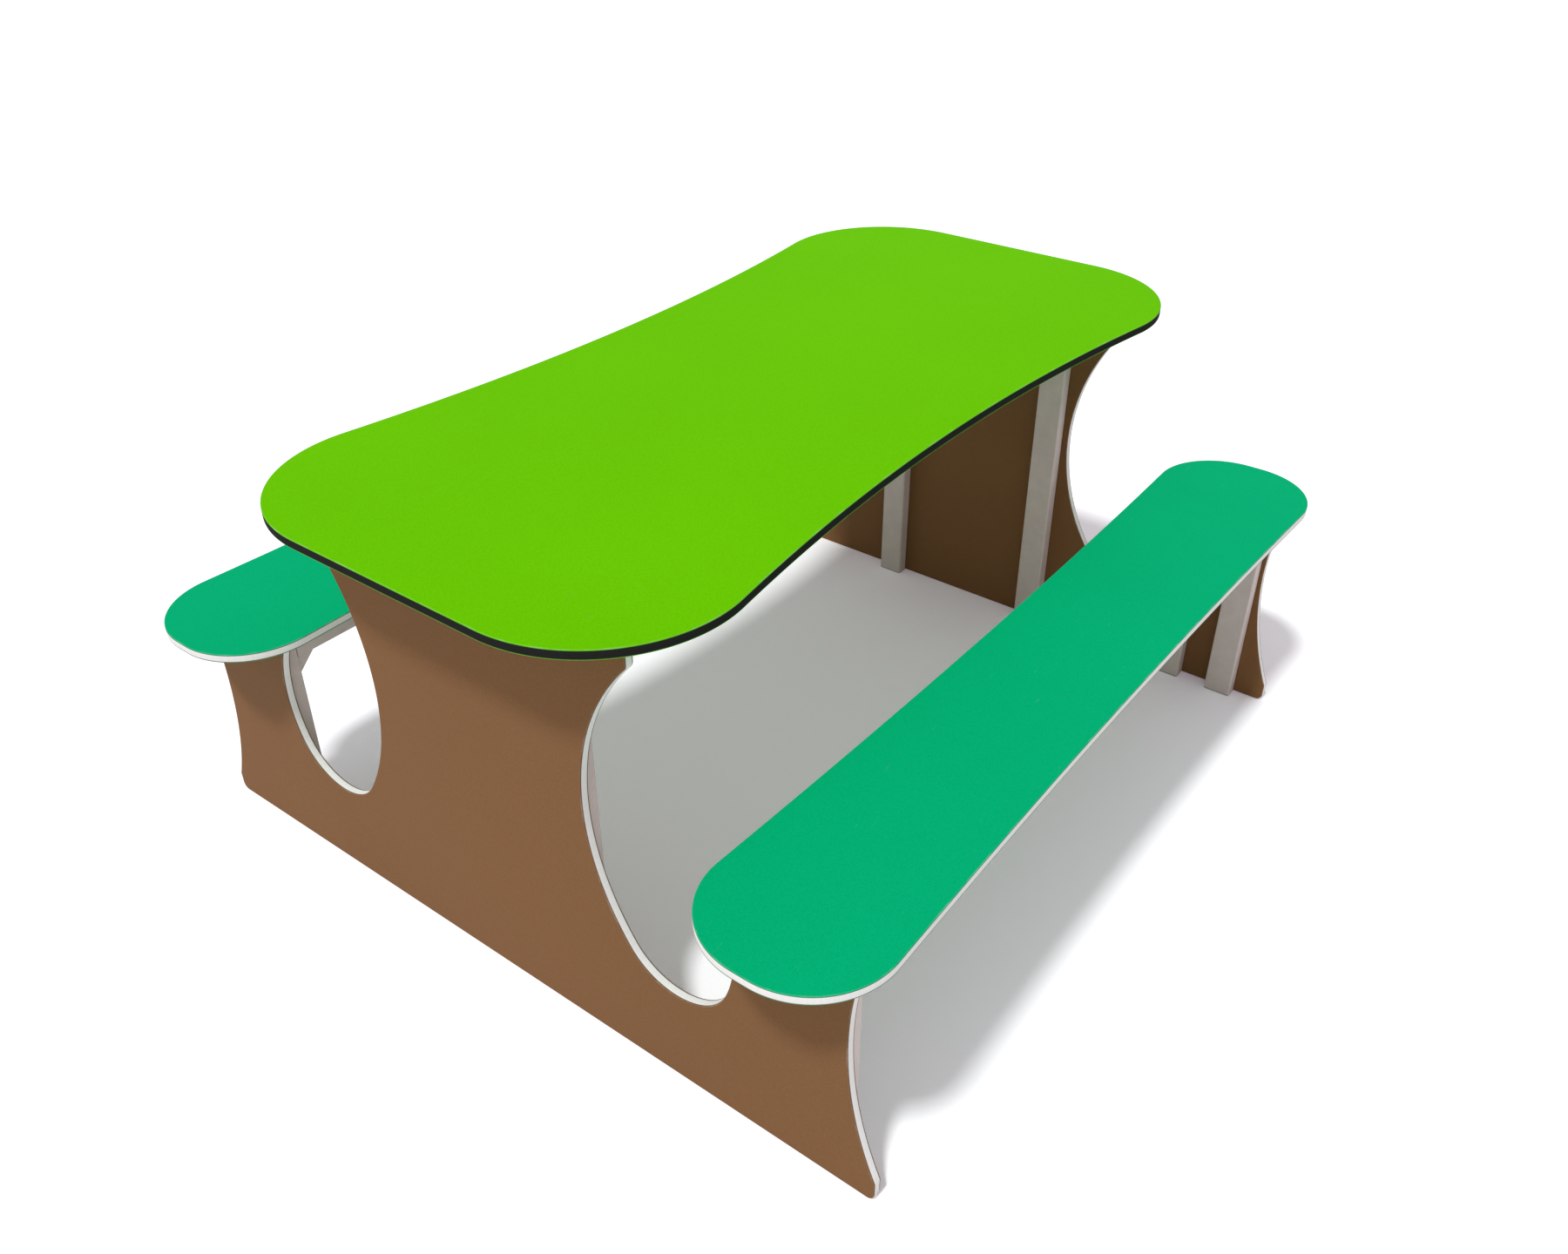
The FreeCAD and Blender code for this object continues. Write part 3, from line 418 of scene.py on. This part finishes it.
def routed_sheet():
    """Tree: a closed outline becomes a sheet with eased edges, lying on its lower face."""
    tree, given, result, keys = recipe("routed_sheet", ("Thickness", "Edge Round"))
    thick, ease = given.outputs["Thickness"], given.outputs["Edge Round"]
    half = math_node(tree, "MULTIPLY", thick, 0.5)
    minus_half = math_node(tree, "MULTIPLY", half, -1.0)
    flat = math_node(tree, "SUBTRACT", half, ease)
    place = add(tree, "GeometryNodeInputPosition").outputs[0]
    split = add(tree, "ShaderNodeSeparateXYZ", {0: place}).outputs

    # One side of a round-cornered square is the section of the rim; the rest of it is cut away.
    block = add(tree, "GeometryNodeCurvePrimitiveQuadrilateral", {"Width": thick, "Height": thick})
    section = add(tree, "GeometryNodeFilletCurve",
                  {"Curve": block.outputs[0], "Count": 4, "Radius": ease}, mode="POLY").outputs[0]
    section = add(tree, "GeometryNodeCurveToMesh", {"Curve": section}).outputs[0]
    spare = math_node(tree, "LESS_THAN", split[X], math_node(tree, "SUBTRACT", flat, RIM_MARGIN))
    section = add(tree, "GeometryNodeDeleteGeometry",
                  {"Geometry": section, "Selection": spare}).outputs[0]
    section = moved(tree, mesh_to_curve(tree, section), x=minus_half)

    outline = mesh_to_curve(tree, given.outputs[0])
    outline = add(tree, "GeometryNodeSetCurveNormal", {"Curve": outline}, mode="Z_UP").outputs[0]
    rim = add(tree, "GeometryNodeCurveToMesh",
              {"Curve": outline, "Profile Curve": section}).outputs[0]
    rim = add(tree, "GeometryNodeFlipFaces", {0: rim}).outputs[0]
    neighbours = add(tree, "GeometryNodeInputMeshEdgeNeighbors").outputs[0]
    border = add(tree, "FunctionNodeCompare", {INT_A: neighbours, INT_B: 1},
                 data_type="INT", operation="EQUAL").outputs[0]
    rim = stored(tree, rim, "face_edge", border, "BOOLEAN", "EDGE")
    rounded = math_node(tree, "GREATER_THAN", math_node(tree, "ABSOLUTE", split[Z]), flat)
    rim = stored(tree, rim, "worn", rounded, "FLOAT", "FACE")

    # The loop along the upper border of the rim is filled, and the face serves both sides.
    upper = math_node(tree, "GREATER_THAN", split[Z], 0.0)
    upper_border = add(tree, "FunctionNodeBooleanMath", {0: border, 1: upper}, operation="AND")
    loop = mesh_to_curve(tree, rim, upper_border.outputs[0])
    face = add(tree, "GeometryNodeFillCurve", {"Curve": loop}, mode="NGONS").outputs[0]
    top = moved(tree, face, z=half)
    low = add(tree, "GeometryNodeFlipFaces", {0: moved(tree, face, z=minus_half)}).outputs[0]
    whole = add(tree, "GeometryNodeMergeByDistance",
                {"Geometry": joined(tree, low, top, rim), "Distance": RIM_SAME_POINT}).outputs[0]
    whole = moved(tree, whole, z=half)
    whole = add(tree, "GeometryNodeSetShadeSmooth", {"Geometry": whole}).outputs[0]
    sharp = add(tree, "GeometryNodeInputNamedAttribute", {"Name": "face_edge"},
                data_type="BOOLEAN").outputs[0]
    inputs = {"Geometry": whole, "Selection": sharp, "Shade Smooth": False}
    crisp = add(tree, "GeometryNodeSetShadeSmooth", inputs, domain="EDGE").outputs[0]
    close_recipe(tree, given, result, crisp)
    return tree, keys


def button_screws():
    """Tree: a domed screw with a hexagon socket at each vertex, its head looking along the aim."""
    tree, given, result, keys = recipe("button_screws", (*HEAD, "Shank Length"))
    radius, height = given.outputs["Head Radius"], given.outputs["Head Height"]
    ball = add(tree, "GeometryNodeMeshUVSphere",
               {"Segments": 40, "Rings": 24, "Radius": 1.0}).outputs[0]
    place = add(tree, "GeometryNodeInputPosition").outputs[0]
    split = add(tree, "ShaderNodeSeparateXYZ", {0: place}).outputs
    rise = math_node(tree, "MAXIMUM", split[Z], 0.0)
    dome = add(tree, "ShaderNodeCombineXYZ", {
        X: math_node(tree, "MULTIPLY", split[X], radius),
        Y: math_node(tree, "MULTIPLY", split[Y], radius),
        Z: math_node(tree, "MULTIPLY", rise, height)}).outputs[0]
    head = add(tree, "GeometryNodeSetPosition", {"Geometry": ball, "Position": dome}).outputs[0]
    socket_radius = math_node(tree, "DIVIDE", given.outputs["Socket Width"], math.sqrt(3.0))
    socket = add(tree, "GeometryNodeMeshCylinder",
                 {"Vertices": 6, "Radius": socket_radius, "Depth": height}).outputs[0]
    socket = moved(tree, socket, z=math_node(tree, "MULTIPLY", height, SOCKET_LIFT))
    cut = add(tree, "GeometryNodeMeshBoolean", {"Mesh 1": head, "Mesh 2": socket},
              operation="DIFFERENCE").outputs[0]
    length = given.outputs["Shank Length"]
    shank = add(tree, "GeometryNodeMeshCylinder", {
        "Vertices": 24, "Radius": given.outputs["Shank Radius"], "Depth": length}).outputs[0]
    shank = moved(tree, shank, z=math_node(tree, "MULTIPLY", length, -0.5))
    aim = add(tree, "GeometryNodeInputNamedAttribute", {"Name": "aim"},
              data_type="FLOAT_VECTOR").outputs[0]
    turn = add(tree, "FunctionNodeAlignRotationToVector", {"Vector": aim}, axis="Z").outputs[0]
    placed = add(tree, "GeometryNodeInstanceOnPoints", {
        "Points": given.outputs[0], "Instance": joined(tree, cut, shank),
        "Rotation": turn}).outputs[0]
    close_recipe(tree, given, result, placed)
    return tree, keys


def weld_bead():
    """Tree: a rippled bead along each line of the base mesh, thinner towards its ends."""
    tree, given, result, keys = recipe("weld_bead", BEAD)
    pitch = given.outputs["Ripple Pitch"]
    path = mesh_to_curve(tree, given.outputs[0])
    step = math_node(tree, "MULTIPLY", pitch, 0.5)
    path = add(tree, "GeometryNodeResampleCurve", {"Curve": path, "Length": step},
               mode="LENGTH").outputs[0]
    odd = math_node(tree, "MODULO", add(tree, "GeometryNodeInputIndex").outputs[0], 2.0)
    ripple = math_node(tree, "MULTIPLY_ADD", odd, given.outputs["Ripple Depth"],
                       given.outputs["Bead Radius"])
    along = add(tree, "GeometryNodeSplineParameter").outputs["Length"]
    whole = add(tree, "GeometryNodeSplineLength").outputs["Length"]
    to_end = math_node(tree, "MINIMUM", along, math_node(tree, "SUBTRACT", whole, along))
    taper = ramp(tree, to_end, start=0.0, end=pitch, low=0.3, high=1.0)
    ring = add(tree, "GeometryNodeCurvePrimitiveCircle", {"Resolution": 10, "Radius": 1.0})
    bead = add(tree, "GeometryNodeCurveToMesh", {
        "Curve": path, "Profile Curve": ring.outputs[0],
        "Scale": math_node(tree, "MULTIPLY", ripple, taper), "Fill Caps": True}).outputs[0]
    smooth = add(tree, "GeometryNodeSetShadeSmooth", {"Geometry": bead}).outputs[0]
    close_recipe(tree, given, result, smooth)
    return tree, keys


def piece(name, mesh, slot, *nodes):
    """Finished piece: rides the one body and stands for its CAD nodes. Its slot argument is not
    used.
    """
    mesh.name = name
    item = bpy.data.objects.new(name, mesh)
    bpy.context.scene.collection.objects.link(item)
    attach(item, "root")
    if nodes:
        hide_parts(*nodes)
    return item


def middle(low, high):
    return (low + high) / 2


def line_mesh(name, points, edges):
    mesh = bpy.data.meshes.new(name)
    mesh.from_pydata(points, edges, [])
    return mesh


def ring_mesh(points):
    """Mesh of one closed line through points of a plane."""
    edges = [(index, (index + 1) % len(points)) for index in range(len(points))]
    return line_mesh("wire", [(*point, 0.0) for point in points], edges)


def arc_points(centre, start, end, steps):
    """Points from start up to but not including end, the short way round a centre."""
    first = math.atan2(start[1] - centre[1], start[0] - centre[0])
    last = math.atan2(end[1] - centre[1], end[0] - centre[0])
    turn = (last - first + math.pi) % (2 * math.pi) - math.pi
    radius = math.dist(centre, start)
    angles = [first + turn * index / steps for index in range(steps)]
    return [(centre[0] + radius * math.cos(a), centre[1] + radius * math.sin(a)) for a in angles]


def toward(start, target, distance):
    """Point at a distance from start on the line to target."""
    share = distance / math.dist(start, target)
    return tuple(a + (b - a) * share for a, b in zip(start, target))


def mirrored(points, axis):
    """Points with one coordinate reversed, in the opposite order."""
    flip = [1.0, 1.0]
    flip[axis] = -1.0
    return [(x * flip[0], y * flip[1]) for x, y in reversed(points)]


def waisted_outline(length, width, end_flat, hollow):
    """Closed outline of the top or a seat about its own middle, anticlockwise."""
    corner = (width - end_flat) / 2
    centre = (length / 2 - corner, width / 2 - corner)
    waist = width / 2 - hollow
    rise = waist - centre[1]
    side = (centre[0] ** 2 + rise ** 2 - corner ** 2) / (2 * hollow)
    side_centre = (0.0, waist + side)
    joint = toward(side_centre, centre, side)
    quarter = arc_points(centre, (length / 2, centre[1]), joint, steps=40)
    quarter += arc_points(side_centre, joint, (0.0, waist), steps=24) + [(0.0, waist)]
    half = quarter + mirrored(quarter, X)[1:]
    return half + mirrored(half, Y)


def panel_outline(offset, stub_top, trunk_top):
    """Closed outline of an end panel, anticlockwise. Its X and Y become Y and Z of the table."""
    reach = offset - STUB_INNER
    bowl = (reach - NOTCH_SWELL - TRUNK_HALF_WAIST - NOTCH_LEAN) / 2
    bowl_centre = (TRUNK_HALF_WAIST + NOTCH_LEAN + bowl, NOTCH_BOTTOM + bowl)
    flare_centre = (offset + STUB_OUTER + STUB_FLARE_RADIUS, STUB_WAIST_HEIGHT)
    foot_run = math.sqrt(STUB_FLARE_RADIUS ** 2 - (STUB_WAIST_HEIGHT - FOOT_EDGE) ** 2)
    foot_side = flare_centre[0] - foot_run
    foot_centre = (foot_side - FOOT_ROUND, FOOT_ROUND)
    foot_end = (foot_side, FOOT_ROUND)
    flare_run = math.sqrt(STUB_FLARE_RADIUS ** 2 - (stub_top - STUB_WAIST_HEIGHT) ** 2)
    stub_out = (flare_centre[0] - flare_run, stub_top)
    inner_rise = math.sqrt(NOTCH_SWELL * (2 * (STUB_INNER_RADIUS - bowl) - NOTCH_SWELL))
    inner_centre = (reach - STUB_INNER_RADIUS, bowl_centre[1] + inner_rise)
    bowl_end = toward(inner_centre, bowl_centre, STUB_INNER_RADIUS)
    inner_run = math.sqrt(STUB_INNER_RADIUS ** 2 - (stub_top - inner_centre[1]) ** 2)
    stub_in = (inner_centre[0] + inner_run, stub_top)
    waist = (TRUNK_HALF_WAIST, TRUNK_WAIST_HEIGHT)
    lower = NOTCH_LEAN / 2 + bowl + (waist[1] - bowl_centre[1]) ** 2 / (2 * NOTCH_LEAN)
    lower_centre = (waist[0] + lower, waist[1])
    bowl_start = toward(lower_centre, bowl_centre, lower)
    shoulder_centre = (SHOULDER_HALF - SHOULDER_ROUND, trunk_top - SHOULDER_EDGE)
    run, rise = shoulder_centre[0] - waist[0], shoulder_centre[1] - waist[1]
    upper = (run ** 2 + rise ** 2 - SHOULDER_ROUND ** 2) / (2 * (run + SHOULDER_ROUND))
    upper_centre = (waist[0] + upper, waist[1])
    shoulder_start = toward(upper_centre, shoulder_centre, upper)
    shoulder_end = (SHOULDER_HALF, shoulder_centre[1])

    half = arc_points(foot_centre, (foot_centre[0], 0.0), foot_end, steps=12) + [foot_end]
    half += arc_points(flare_centre, (foot_side, FOOT_EDGE), stub_out, steps=36) + [stub_out]
    half += arc_points(inner_centre, stub_in, bowl_end, steps=30)
    half += arc_points(bowl_centre, bowl_end, bowl_start, steps=60)
    half += arc_points(lower_centre, bowl_start, waist, steps=24)
    half += arc_points(upper_centre, waist, shoulder_start, steps=40)
    half += arc_points(shoulder_centre, shoulder_start, shoulder_end, steps=10)
    half += [shoulder_end, (SHOULDER_HALF, trunk_top)]
    return half + mirrored(half, X)


def cut_sheet(outline, thickness, material):
    """Mesh of a sheet on the floor, cut along an outline."""
    values = {"Thickness": thickness, "Edge Round": EASED, "Finish": material}
    return run_recipe(sheet_tree, sheet_keys, ring_mesh(outline), values)


def make_board(name, node, material, slot, end_flat, hollow):
    low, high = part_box(node)
    size = high - low
    mesh = cut_sheet(waisted_outline(size.x, size.y, end_flat, hollow), size.z, material)
    mesh.transform(Matrix.Translation((0.0, middle(low.y, high.y), low.z)))
    return piece(name, mesh, slot, node)


def make_panel(name, node):
    low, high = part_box(node)
    bench_low, bench_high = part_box("rear_bench_seat")
    outline = panel_outline(middle(bench_low.y, bench_high.y), bench_low.z, high.z)
    mesh = cut_sheet(outline, high.x - low.x, brown)
    mesh.transform(Matrix.Translation((low.x, 0.0, 0.0)) @ STAND_UP)
    return piece(name, mesh, "brown_sheet", node)


def level_normals(mesh):
    """Same mesh with normals weighted by face area, so that flat faces shade flat."""
    holder = bpy.data.objects.new("normals_base", mesh)
    bpy.context.scene.collection.objects.link(holder)
    modifier = holder.modifiers.new("normals", "WEIGHTED_NORMAL")
    modifier.keep_sharp = True
    graph = bpy.context.evaluated_depsgraph_get()
    result = bpy.data.meshes.new_from_object(
        holder.evaluated_get(graph), preserve_all_data_layers=True, depsgraph=graph)
    bpy.data.objects.remove(holder)
    return result


def dressed_copy(node, material, bevel):
    """Copy of a CAD node with its triangles merged to faces and its sharp edges broken."""
    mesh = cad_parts[node].data.copy()
    work = bmesh.new()
    work.from_mesh(mesh)
    bmesh.ops.remove_doubles(work, verts=work.verts, dist=SAME_POINT)
    bmesh.ops.dissolve_limit(work, angle_limit=SAME_PLANE, verts=work.verts, edges=work.edges)
    worn = work.faces.layers.float.new("worn")
    sharp = [edge for edge in work.edges if edge.calc_face_angle(0.0) > BREAK_ANGLE]
    broken = bmesh.ops.bevel(work, geom=sharp, offset=bevel, offset_type="OFFSET", segments=2,
                             profile=0.5, affect="EDGES", clamp_overlap=True)["faces"]
    for face in work.faces:
        face.smooth = True
    for face in broken:
        face[worn] = 1.0
    for edge in work.edges:
        edge.smooth = edge.calc_face_angle(0.0) < CRISP_ANGLE
    work.to_mesh(mesh)
    work.free()
    mesh.materials.clear()
    mesh.materials.append(material)
    return level_normals(mesh)


def make_frame(prefix, sides):
    """Tubes, gussets, fixing plates and feet below one board, and the finish of its inserts."""
    for side in sides:
        names = [(f"{prefix}_{side}_{kind}", kind) for kind in ("rail", "plates")]
        names += [(f"{prefix}_{side}_{kind}_{end}", kind)
                  for end in ENDS for kind in ("post", "gusset")]
        for node, kind in names:
            piece(f"{node}_steel", dressed_copy(node, coating, BROKEN[kind]), "grey_tube", node)
    node = f"{prefix}_post_feet"
    mesh = dressed_copy(node, foot_plastic, BROKEN["post_feet"])
    piece(f"{node}_moulded", mesh, "grey_plastic", node)
    for node in (f"{BOARDS[prefix]}_inserts", f"{prefix}_post_inserts"):
        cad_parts[node].data.materials.clear()
        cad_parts[node].data.materials.append(brass)


def solid_boxes(node):
    """Lowest and highest corners of each separate solid of a CAD node, in order of place."""
    work = bmesh.new()
    work.from_mesh(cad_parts[node].data)
    bmesh.ops.remove_doubles(work, verts=work.verts, dist=SAME_POINT)
    left = set(work.verts)
    boxes = []
    while left:
        group = [left.pop()]
        for vert in group:
            for edge in vert.link_edges:
                other = edge.other_vert(vert)
                if other in left:
                    left.remove(other)
                    group.append(other)
        boxes.append([Vector(pick(vert.co[axis] for vert in group) for axis in (X, Y, Z))
                      for pick in (min, max)])
    work.free()
    return sorted(boxes, key=lambda box: tuple(round(value, 4) for value in box[0]))


def make_screws(node, upright):
    """Screws of a CAD node: upright ones have the head below, and others have it inwards."""
    head = HEAD["Head Height"]
    seats, aims, length = [], [], 0.0
    for low, high in solid_boxes(node):
        x, y, z = (middle(*pair) for pair in zip(low, high))
        if upright:
            aims.append((0.0, 0.0, -1.0))
            seats.append((x, y, low.z + head))
            length = high.z - low.z - head
        else:
            side = math.copysign(1.0, low.x)
            aims.append((-side, 0.0, 0.0))
            seats.append((side * (min(abs(low.x), abs(high.x)) + head), y, z))
            length = high.x - low.x - head
    base = line_mesh("screw_points", seats, [])
    aim = base.attributes.new("aim", "FLOAT_VECTOR", "POINT")
    for index, value in enumerate(aims):
        aim.data[index].vector = value
    values = {**HEAD, "Shank Length": length, "Finish": zinc}
    mesh = run_recipe(screw_tree, screw_keys, base, values)
    return piece(f"{node}_domed", mesh, "zinc_screw", node)


def make_welds(prefix):
    """Beads where rails meet posts, gussets meet both, and fixing plates meet rails."""
    lines = []
    for side in FRAMES[prefix]:
        rail_low, rail_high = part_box(f"{prefix}_{side}_rail")
        post_low, post_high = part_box(f"{prefix}_{side}_post_left")
        centre = middle(post_low.y, post_high.y)
        near, far = sorted((rail_low.y, rail_high.y), key=lambda y: abs(y - centre))
        for x in (rail_low.x, rail_high.x):
            lines.append([(x, far, rail_low.z), (x, near, rail_low.z),
                          (x, near, rail_high.z), (x, far, rail_high.z)])
        for end in ENDS:
            low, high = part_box(f"{prefix}_{side}_gusset_{end}")
            inner, outer = sorted((low.x, high.x), key=abs)
            for y in (low.y, high.y):
                lines.append([(inner, y, high.z), (outer, y, high.z), (outer, y, low.z)])
        for low, high in solid_boxes(f"{prefix}_{side}_plates"):
            lines.append([(low.x + PLATE_WELD_INSET, near, low.z),
                          (high.x - PLATE_WELD_INSET, near, low.z)])
    points, edges = [], []
    for line in lines:
        first = len(points)
        edges += [(first + index, first + index + 1) for index in range(len(line) - 1)]
        points += line
    base = line_mesh("weld_lines", points, edges)
    mesh = run_recipe(bead_tree, bead_keys, base, {**BEAD, "Finish": coating})
    return piece(f"{prefix}_welds", mesh, "grey_tube")


def shown_or_lit(tree, shown, lit):
    """Value for what the camera, mirrors and glass see, and another for the light on things."""
    path = add(tree, "ShaderNodeLightPath")
    seen = path.outputs["Is Camera Ray"]
    for ray in ("Is Glossy Ray", "Is Transmission Ray"):
        seen = math_node(tree, "MAXIMUM", seen, path.outputs[ray])
    return blend_values(tree, seen, lit, shown)


def light_studio(scene):
    """White surroundings, and a soft lamp above the near end."""
    world = bpy.data.worlds.new("studio")
    scene.world = world
    world.use_nodes = True
    tree = world.node_tree
    backdrop = tree.nodes["Background"]
    backdrop.inputs["Color"].default_value = WHITE
    tree.links.new(shown_or_lit(tree, 1.0, AMBIENT), backdrop.inputs["Strength"])
    lamp_data = bpy.data.lights.new("key_lamp", "SUN")
    lamp_data.energy = LAMP_STRENGTH
    lamp_data.angle = LAMP_ANGLE
    lamp = bpy.data.objects.new("key_lamp", lamp_data)
    lamp.rotation_euler = LAMP_AIM.to_track_quat("-Z", "Y").to_euler()
    scene.collection.objects.link(lamp)


def floor_finish():
    """Pale floor, clear from below so that the underside shows."""
    material = bpy.data.materials.new("floor_paint")
    material.use_nodes = True
    tree = material.node_tree
    lit = add(tree, "ShaderNodeBsdfDiffuse", {"Color": FLOOR_WHITE}).outputs[0]
    shown = add(tree, "ShaderNodeAddShader", {
        0: add(tree, "ShaderNodeBsdfDiffuse", {"Color": FLOOR_SHOWN}).outputs[0],
        1: add(tree, "ShaderNodeEmission", {"Color": FLOOR_GLOW}).outputs[0]}).outputs[0]
    above = add(tree, "ShaderNodeMixShader",
                {0: shown_or_lit(tree, 1.0, 0.0), 1: lit, 2: shown}).outputs[0]
    below = add(tree, "ShaderNodeBsdfTransparent").outputs[0]
    side = add(tree, "ShaderNodeNewGeometry").outputs["Backfacing"]
    both = add(tree, "ShaderNodeMixShader", {0: side, 1: above, 2: below}).outputs[0]
    tree.links.new(both, tree.nodes["Material Output"].inputs["Surface"])
    return material


def lay_floor(scene):
    mesh = bpy.data.meshes.new("floor")
    corners = [(x * FLOOR_REACH, y * FLOOR_REACH, FLOOR_LEVEL)
               for x, y in ((-1, -1), (1, -1), (1, 1), (-1, 1))]
    mesh.from_pydata(corners, [], [(0, 1, 2, 3)])
    floor = bpy.data.objects.new("floor", mesh)
    scene.collection.objects.link(floor)
    mesh.materials.append(floor_finish())


def set_camera(scene):
    """The photograph's camera."""
    camera_data = bpy.data.cameras.new("photo_camera")
    camera_data.sensor_fit = "HORIZONTAL"
    camera_data.sensor_width = CAMERA_SENSOR
    camera_data.lens = CAMERA_LENS
    camera_data.clip_end = CAMERA_REACH
    camera = bpy.data.objects.new("photo_camera", camera_data)
    scene.collection.objects.link(camera)
    camera.location = CAMERA_PLACE
    level = math.cos(CAMERA_ELEVATION)
    back = Vector((math.sin(CAMERA_AZIMUTH) * level, -math.cos(CAMERA_AZIMUTH) * level,
                   math.sin(CAMERA_ELEVATION)))
    camera.rotation_euler = (-back).to_track_quat("-Z", "Y").to_euler()
    scene.camera = camera


top_low, top_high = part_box("table_top")
seat_low, seat_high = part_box("front_bench_seat")
panel_low, panel_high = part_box("end_panel_right")
green = sheet_plastic("green_sheet", GREEN_SKIN, TOP_CORE, Z, top_low.z, top_high.z, BOARD_SHINE)
teal = sheet_plastic("teal_sheet", TEAL_SKIN, SEAT_CORE, Z, seat_low.z, seat_high.z, BOARD_SHINE)
brown = sheet_plastic("brown_sheet", BROWN_SKIN, PANEL_CORE, X, panel_low.x, panel_high.x,
                      PANEL_SHINE)
coating = grey_coating("grey_coating")
zinc = bare_metal("zinc_screw", ZINC, ZINC_STRETCH, smoothest=0.28, roughest=0.42)
brass = bare_metal("brass_insert", BRASS, BRASS_STRETCH, smoothest=0.25, roughest=0.4)
foot_plastic = moulded_plastic("foot_plastic")

sheet_tree, sheet_keys = routed_sheet()
screw_tree, screw_keys = button_screws()
bead_tree, bead_keys = weld_bead()

make_board("top_sheet", "table_top", green, "green_sheet", TOP_END_FLAT, TOP_HOLLOW)
make_board("front_seat_sheet", "front_bench_seat", teal, "teal_sheet", SEAT_END_FLAT, SEAT_HOLLOW)
make_board("rear_seat_sheet", "rear_bench_seat", teal, "teal_sheet", SEAT_END_FLAT, SEAT_HOLLOW)
for end in ENDS:
    make_panel(f"panel_sheet_{end}", f"end_panel_{end}")
for prefix, sides in FRAMES.items():
    make_frame(prefix, sides)
for prefix, board in BOARDS.items():
    make_screws(f"{board}_screws", upright=True)
    make_screws(f"{prefix}_post_screws", upright=False)
    make_welds(prefix)

scene = bpy.context.scene
scene.view_settings.view_transform = "Standard"
light_studio(scene)
lay_floor(scene)
set_camera(scene)
